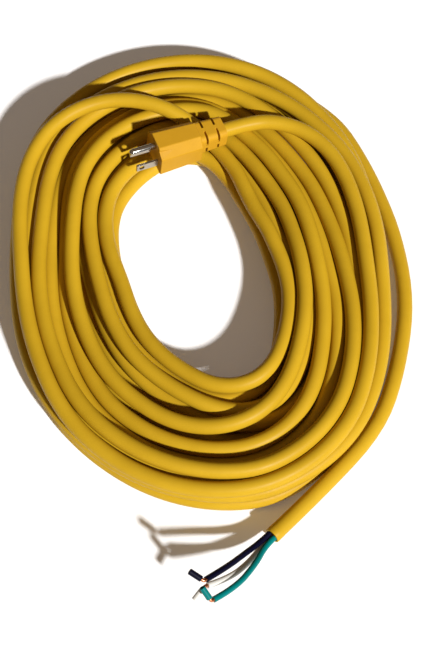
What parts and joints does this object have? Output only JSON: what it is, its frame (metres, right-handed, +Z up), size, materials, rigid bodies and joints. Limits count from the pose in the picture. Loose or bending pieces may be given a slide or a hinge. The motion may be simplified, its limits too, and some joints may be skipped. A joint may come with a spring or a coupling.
{
  "type": "power supply cord",
  "caption": "Heavy three-core power cord wound into a loose oval coil, with a moulded three-pin plug at one end and a cut jacket with three stripped leads at the other.",
  "frame": {"origin": "centre of the whole object's bounding box in X and Y, on the surface that the coil lies on", "axes": "+Z up from the surface; +Y from the cut end towards the coil's back, along the coil's long way; +X across it. The plug's pins point to -X and a little to -Y."},
  "size_m": [0.2847, 0.4244, 0.0578],
  "materials": {
    "yellow_pvc": "satin extruded PVC jacket",
    "plug_pvc": "satin moulded PVC",
    "bridge_nylon": "natural nylon",
    "nickel_plate": "nickel-plated brass",
    "copper": "bare stranded copper",
    "black_pvc": "glossy PVC insulation",
    "white_pvc": "glossy PVC insulation",
    "green_pvc": "glossy PVC insulation"
  },
  "bodies": {
    "cord": {"plug_body": "plug_pvc", "plug_bridge": "bridge_nylon", "hot_blade": "nickel_plate", "neutral_blade": "nickel_plate", "ground_pin": "nickel_plate", "plug_hot_wire": "black_pvc", "plug_hot_strands": "copper", "plug_neutral_wire": "white_pvc", "plug_neutral_strands": "copper", "plug_ground_wire": "green_pvc", "plug_ground_strands": "copper", "lead_jacket": "yellow_pvc", "cord_coil": "yellow_pvc", "tail_jacket": "yellow_pvc", "black_insulation": "black_pvc", "black_strands": "copper", "white_insulation": "white_pvc", "white_strands": "copper", "green_insulation": "green_pvc", "green_strands": "copper"},
    "black_slug": {"black_slug": "black_pvc"},
    "white_slug": {"white_slug": "white_pvc"},
    "green_slug": {"green_slug": "green_pvc"}
  },
  "joints": [
    {"name": "black_slug_slide", "type": "slide", "parent": "cord", "child": "black_slug", "axis": [-0.8211, 0.4506, 0.3505], "range_m": [0, 0.0056]},
    {"name": "white_slug_slide", "type": "slide", "parent": "cord", "child": "white_slug", "axis": [-0.6206, -0.7607, -0.1902], "range_m": [0, 0.0056]},
    {"name": "green_slug_slide", "type": "slide", "parent": "cord", "child": "green_slug", "axis": [-0.512, 0.6024, 0.6124], "range_m": [0, 0.0056]}
  ]
}
